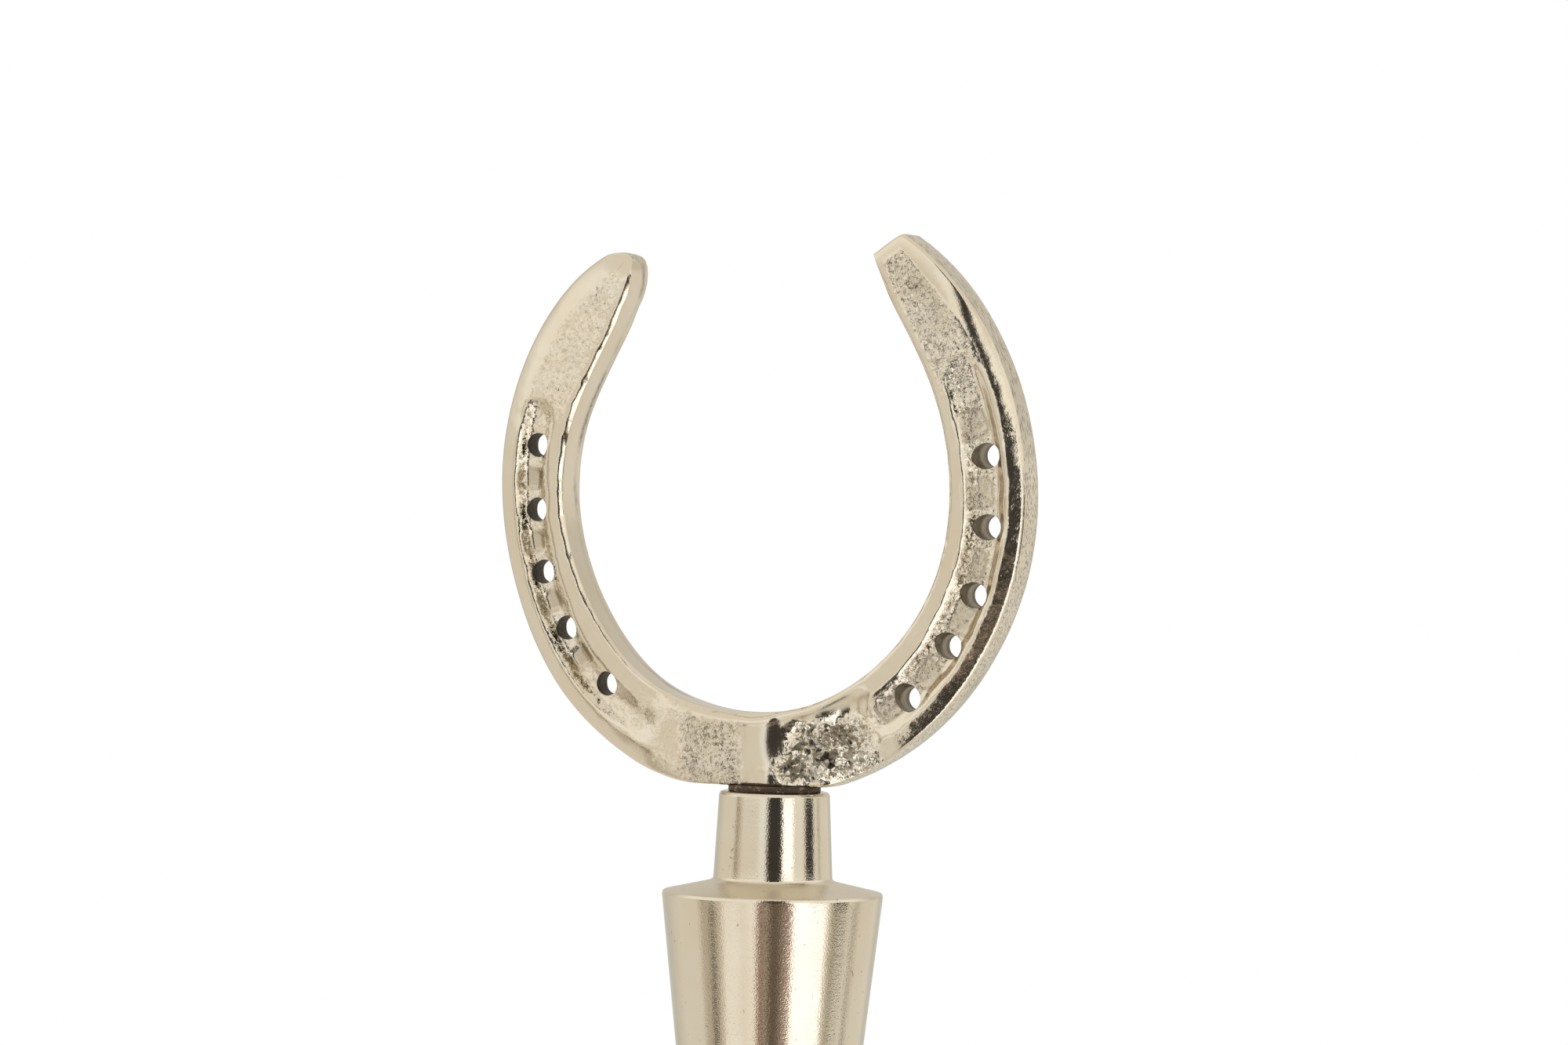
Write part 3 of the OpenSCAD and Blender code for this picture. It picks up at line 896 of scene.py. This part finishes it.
def turned_nickel():
    m, n, b = material("turned_nickel_look")
    co = n.coords()
    mp = n.add("ShaderNodeMapping")
    n.set(mp.inputs["Vector"], n.add("ShaderNodeTexCoord").outputs["Object"])
    mp.inputs["Scale"].default_value = (0.045, 0.045, 1.0)
    lines = n.noise(mp.outputs[0], 0.16, 3, 0.65).outputs["Fac"]
    wide = n.noise(mp.outputs[0], 1.1, 2, 0.5).outputs["Fac"]
    speck = n.noise(co, 0.15, 1, 0.5).outputs["Fac"]
    big = n.noise(co, 6.0, 2).outputs["Fac"]
    colour = n.mix(n.ramp_range(big, 0.35, 0.65), NICKEL, (0.715, 0.64, 0.515, 1))
    pits = n.noise(co, 0.5, 1, 0.4).outputs["Fac"]
    colour = n.mix(n.math("MULTIPLY", n.ramp_range(pits, 0.735, 0.78), 0.55), colour, NICKEL_DARK)
    n.set(b.inputs["Base Color"], colour)
    b.inputs["Metallic"].default_value = 1.0
    r = n.math("MULTIPLY_ADD", n.math("SUBTRACT", lines, 0.5), 0.10, 0.085)
    r = n.math("ADD", r, n.math("MULTIPLY", n.math("SUBTRACT", wide, 0.5), 0.08))
    # the shoulder was left from the tool, duller than the sides
    height = n.add("ShaderNodeSeparateXYZ")
    n.set(height.inputs[0], n.add("ShaderNodeTexCoord").outputs["Object"])
    zz = height.outputs[2]
    shoulder = n.math("MULTIPLY", n.ramp_range(zz, 37.95 * MM, 38.1 * MM), n.ramp_range(zz, 39.35 * MM, 39.2 * MM))
    r = n.math("ADD", r, n.math("MULTIPLY", shoulder, 0.22))
    n.set(b.inputs["Roughness"], n.math("MAXIMUM", r, 0.05))
    # chatter: faint dents, longer round the part than along it
    mc = n.add("ShaderNodeMapping")
    n.set(mc.inputs["Vector"], n.add("ShaderNodeTexCoord").outputs["Object"])
    mc.inputs["Scale"].default_value = (0.55, 0.55, 1.0)
    chatter = n.noise(mc.outputs[0], 0.34, 2, 0.55).outputs["Fac"]
    b1 = n.add("ShaderNodeBump", inputs={"Height": lines, "Distance": 0.0045 * MM, "Strength": 1.0})
    b0 = n.add("ShaderNodeBump", inputs={"Height": chatter, "Distance": 0.0045 * MM, "Strength": 1.0, "Normal": b1})
    b2 = n.add("ShaderNodeBump", inputs={"Height": speck, "Distance": 0.010 * MM, "Strength": 1.0, "Normal": b0})
    n.set(b.inputs["Normal"], b2)
    return m


def fibre():
    m, n, b = material("fibre_washer_look")
    co = n.coords()
    mp = n.add("ShaderNodeMapping")
    n.set(mp.inputs["Vector"], n.add("ShaderNodeTexCoord").outputs["Object"])
    mp.inputs["Scale"].default_value = (0.35, 0.35, 1.0)
    threads = n.noise(mp.outputs[0], 0.25, 3, 0.6).outputs["Fac"]
    specks = n.noise(co, 0.4, 2, 0.6).outputs["Fac"]
    c = n.mix(n.ramp_range(threads, 0.3, 0.7), (0.022, 0.013, 0.008, 1), (0.075, 0.043, 0.024, 1))
    c = n.mix(n.math("MULTIPLY", n.ramp_range(specks, 0.56, 0.64), 0.8), c, (0.26, 0.17, 0.09, 1))
    n.set(b.inputs["Base Color"], c)
    n.set(b.inputs["Roughness"], n.ramp_range(threads, 0.2, 0.8, 0.45, 0.75))
    b1 = n.add("ShaderNodeBump", inputs={"Height": threads, "Distance": 0.05 * MM, "Strength": 1.0})
    n.set(b.inputs["Normal"], b1)
    return m


def steel():
    m, n, b = material("stud_steel_look")
    mp = n.add("ShaderNodeMapping")
    n.set(mp.inputs["Vector"], n.add("ShaderNodeTexCoord").outputs["Object"])
    mp.inputs["Scale"].default_value = (0.1, 0.1, 1.0)
    lines = n.noise(mp.outputs[0], 0.12, 3, 0.6).outputs["Fac"]
    spots = n.noise(n.coords(), 1.2, 3, 0.5).outputs["Fac"]
    c = n.mix(n.ramp_range(spots, 0.4, 0.7), (0.56, 0.55, 0.53, 1), (0.40, 0.385, 0.36, 1))
    n.set(b.inputs["Base Color"], c)
    b.inputs["Metallic"].default_value = 1.0
    n.set(b.inputs["Roughness"], n.ramp_range(lines, 0.3, 0.7, 0.26, 0.42))
    b1 = n.add("ShaderNodeBump", inputs={"Height": lines, "Distance": 0.01 * MM, "Strength": 1.0})
    n.set(b.inputs["Normal"], b1)
    return m


def rubber():
    m, n, b = material("seal_rubber_look")
    co = n.coords()
    fine = n.noise(co, 0.22, 3, 0.6).outputs["Fac"]
    bloom = n.noise(co, 2.6, 3, 0.6).outputs["Fac"]
    c = n.mix(n.ramp_range(bloom, 0.45, 0.75), (0.012, 0.012, 0.0125, 1), (0.030, 0.029, 0.028, 1))
    n.set(b.inputs["Base Color"], c)
    n.set(b.inputs["Roughness"], n.ramp_range(bloom, 0.3, 0.8, 0.40, 0.60))
    b1 = n.add("ShaderNodeBump", inputs={"Height": fine, "Distance": 0.02 * MM, "Strength": 1.0})
    n.set(b.inputs["Normal"], b1)
    return m


LOOK = {"shoe": cast_nickel(), "turned": turned_nickel(), "fibre": fibre(), "steel": steel(), "rubber": rubber()}


def give(obj, look):
    obj.data.materials.clear()
    obj.data.materials.append(look)


def place(obj, node, look):
    give(obj, look)
    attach(obj, "root")
    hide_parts(node)


place(shoe, "horseshoe", LOOK["shoe"])
place(stopper, "stopper_body", LOOK["turned"])
place(washer, "joint_washer", LOOK["fibre"])
for name, obj in rings.items():
    place(obj, name, LOOK["rubber"])
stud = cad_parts["threaded_stud"]
give(stud, LOOK["steel"])

# ---------------------------------------------------------------- floor

bpy.ops.mesh.primitive_circle_add(vertices=128, radius=3.0, fill_type="NGON", location=(0, 0, 0))
floor = bpy.context.object
floor.name = "floor"
fm = bpy.data.materials.new("floor_paper")
fm.use_nodes = True
fm.node_tree.nodes.clear()
n = Nodes(fm.node_tree)
out = n.add("ShaderNodeOutputMaterial")
diffuse = n.add("ShaderNodeBsdfDiffuse", inputs={"Color": (0.93, 0.93, 0.925, 1)})
glow = n.add("ShaderNodeEmission", inputs={"Color": (1, 1, 1, 1), "Strength": 1.0})
pos = n.add("ShaderNodeNewGeometry").outputs["Position"]
dist = n.add("ShaderNodeVectorMath", operation="LENGTH")
n.set(dist.inputs[0], pos)
mixer = n.add("ShaderNodeMixShader")
n.set(mixer.inputs[0], n.ramp_range(dist.outputs["Value"], 0.05, 0.19))
n.set(mixer.inputs[1], diffuse.outputs[0])
n.set(mixer.inputs[2], glow.outputs[0])
n.set(out.inputs["Surface"], mixer.outputs[0])
floor.data.materials.append(fm)
floor.visible_glossy = False

# ---------------------------------------------------------------- studio surroundings
# The reflections come from direction: A is the azimuth round the object, 0 at the photograph's camera,
# positive to the camera's right, and E the elevation, in degrees.

YAW0 = 21.97
WHITE = (1.75, 1.75, 1.78)
CREAM = (1.10, 1.08, 1.03)
BEIGE = (0.86, 0.82, 0.74)
DULL = (0.60, 0.54, 0.45)
BROWN = (0.39, 0.25, 0.205)
DARK = (0.055, 0.05, 0.046)
GREY = (0.12, 0.118, 0.11)
PALE = (0.92, 0.90, 0.85)
EDGE = (0.64, 0.63, 0.57)
UMBER = (0.19, 0.145, 0.11)


def colour_ramp(n, socket, stops):
    node = n.add("ShaderNodeValToRGB")
    cr = node.color_ramp
    cr.interpolation = "LINEAR"
    while len(cr.elements) < len(stops):
        cr.elements.new(1.0)
    for e, (a, c) in zip(cr.elements, stops):
        e.position = min(1.0, max(0.0, (a + 180) / 360))
        e.color = (*c, 1)
    n.set(node.inputs[0], socket)
    return node.outputs["Color"]


def band_ramp(n, a_socket, base, bands):
    """A colour ramp over azimuth. bands are (from, to, colour, softness in degrees), in order, on a base colour."""
    stops = [] if bands[0][0] <= -180 else [(-180, base)]
    for k, (lo, hi, col, soft) in enumerate(bands):
        joined = k > 0 and abs(bands[k - 1][1] - lo) < 1.5
        if lo <= -180:
            stops.append((-180, col))
        else:
            if not joined:
                stops.append((lo - soft / 2, base))
            stops.append((lo + soft / 2, col))
        if hi >= 180:
            stops.append((180, col))
        else:
            stops.append((hi - soft / 2, col))
            if k + 1 == len(bands) or abs(bands[k + 1][0] - hi) >= 1.5:
                stops.append((hi + soft / 2, base))
    if stops[-1][0] < 180:
        stops.append((180, base))
    clean = []
    for a, c in stops:
        if clean and a <= clean[-1][0] + 1e-3:
            a = clean[-1][0] + 0.05
        clean.append((a, c))
    if len(clean) <= 30:
        return colour_ramp(n, a_socket, clean)
    half = len(clean) // 2
    left = colour_ramp(n, a_socket, clean[:half + 1])
    right = colour_ramp(n, a_socket, clean[half:])
    beyond = n.math("GREATER_THAN", a_socket, (clean[half][0] + 180) / 360)
    return n.mix(beyond, left, right)


world = bpy.data.worlds.new("studio")
bpy.context.scene.world = world
world.use_nodes = True
world.node_tree.nodes.clear()
n = Nodes(world.node_tree)
wout = n.add("ShaderNodeOutputWorld")
direction = n.add("ShaderNodeTexCoord").outputs["Generated"]
norm = n.add("ShaderNodeVectorMath", operation="NORMALIZE")
n.set(norm.inputs[0], direction)
xyz = n.add("ShaderNodeSeparateXYZ")
n.set(xyz.inputs[0], norm.outputs[0])
az = n.math("ARCTAN2", xyz.outputs[0], n.math("MULTIPLY", xyz.outputs[1], -1.0))
az = n.math("SUBTRACT", n.math("MULTIPLY", az, 57.29578), YAW0)
az = n.math("WRAP", az, 180.0, -180.0)
el = n.math("MULTIPLY", n.math("ARCSINE", xyz.outputs[2]), 57.29578)
share = n.ramp_range(az, -180.0, 180.0, kind="LINEAR")

neck_env = band_ramp(n, share, BEIGE, [
    (-180, -134, EDGE, 30), (-84, -76, (0.46, 0.40, 0.32), 4), (-76, -69, (0.66, 0.60, 0.50), 5), (-30, -14, (1.0, 1.0, 0.97), 4), (-13, 18, DARK, 3),
    (18, 40, WHITE, 3), (42, 62, (0.97, 0.93, 0.86), 6), (66, 87, DARK, 4), (100, 106, DULL, 3), (146, 180, EDGE, 12),
])
cone_env = band_ramp(n, share, BEIGE, [
    (-180, -134, EDGE, 34), (-83, -71, DULL, 5), (-70.5, -65, (0.16, 0.13, 0.10), 2), (-65, -56.5, DULL, 3), (-56.5, -36, CREAM, 4), (-36, -24, (1.02, 0.98, 0.90), 4), (-24, -16.5, (1.14, 1.10, 1.03), 3), (-16.5, -9.5, BROWN, 2.5), (-9.5, -4, (0.50, 0.44, 0.36), 3),
    (-4, 9.5, UMBER, 4), (9.5, 14, (0.36, 0.30, 0.24), 4), (14, 22.5, BROWN, 3), (22.5, 61, WHITE, 3), (66, 77, (0.58, 0.54, 0.45), 5), (96.5, 100.5, GREY, 2.5), (150, 180, EDGE, 12),
])
low_env = band_ramp(n, share, BEIGE, [
    (-84, -65, DULL, 10), (-16, 14, DARK, 5), (14, 50, WHITE, 5), (50, 70, CREAM, 8),
])
high_env = band_ramp(n, share, CREAM, [
    (-180, -115, (0.70, 0.67, 0.60), 30), (-58, -30, CREAM, 6), (-12, 15, DARK, 5), (15, 45, (1.2, 1.18, 1.1), 8), (115, 180, (0.70, 0.67, 0.60), 30),
])
sky = (0.92, 0.89, 0.82, 1)
c = n.mix(n.ramp_range(el, -12.0, -13.5), neck_env, cone_env)
c = n.mix(n.ramp_range(el, -20.0, -22.5), c, low_env)
c = n.mix(n.ramp_range(el, 3.0, 9.0), c, high_env)
c = n.mix(n.ramp_range(el, 28.0, 42.0), c, sky)
c = n.mix(n.ramp_range(el, -50.0, -70.0), c, (0.80, 0.76, 0.68, 1))
world_bg = n.add("ShaderNodeBackground")
n.set(world_bg.inputs["Color"], c)
plain = n.add("ShaderNodeBackground", inputs={"Color": (1, 1, 1, 1), "Strength": 1.0})
chooser = n.add("ShaderNodeMixShader")
n.set(chooser.inputs[0], n.add("ShaderNodeLightPath").outputs["Is Camera Ray"])
n.set(chooser.inputs[1], world_bg.outputs[0])
n.set(chooser.inputs[2], plain.outputs[0])
n.set(wout.inputs["Surface"], chooser.outputs[0])

# ---------------------------------------------------------------- camera and view

YAW, PITCH, ROLL = (math.radians(a) for a in (21.966, 1.023, 1.169))
C = Vector((0.24753, -0.61266, 0.08652))
f = Vector((-math.sin(YAW) * math.cos(PITCH), math.cos(YAW) * math.cos(PITCH), -math.sin(PITCH)))
r = f.cross(Vector((0, 0, 1))).normalized()
u = r.cross(f)
r2 = r * math.cos(ROLL) + u * math.sin(ROLL)
u2 = u * math.cos(ROLL) - r * math.sin(ROLL)
cam_data = bpy.data.cameras.new("camera")
cam_data.sensor_width = 36.0
cam_data.lens = 153.0
cam_data.clip_start = 0.01
cam = bpy.data.objects.new("camera", cam_data)
bpy.context.scene.collection.objects.link(cam)
cam.matrix_world = Matrix((
    (r2.x, u2.x, -f.x, C.x),
    (r2.y, u2.y, -f.y, C.y),
    (r2.z, u2.z, -f.z, C.z),
    (0, 0, 0, 1),
))
bpy.context.scene.camera = cam
scene = bpy.context.scene
scene.view_settings.view_transform = "Standard"
scene.view_settings.look = "None"
scene.view_settings.exposure = 0.0
scene.view_settings.gamma = 1.0
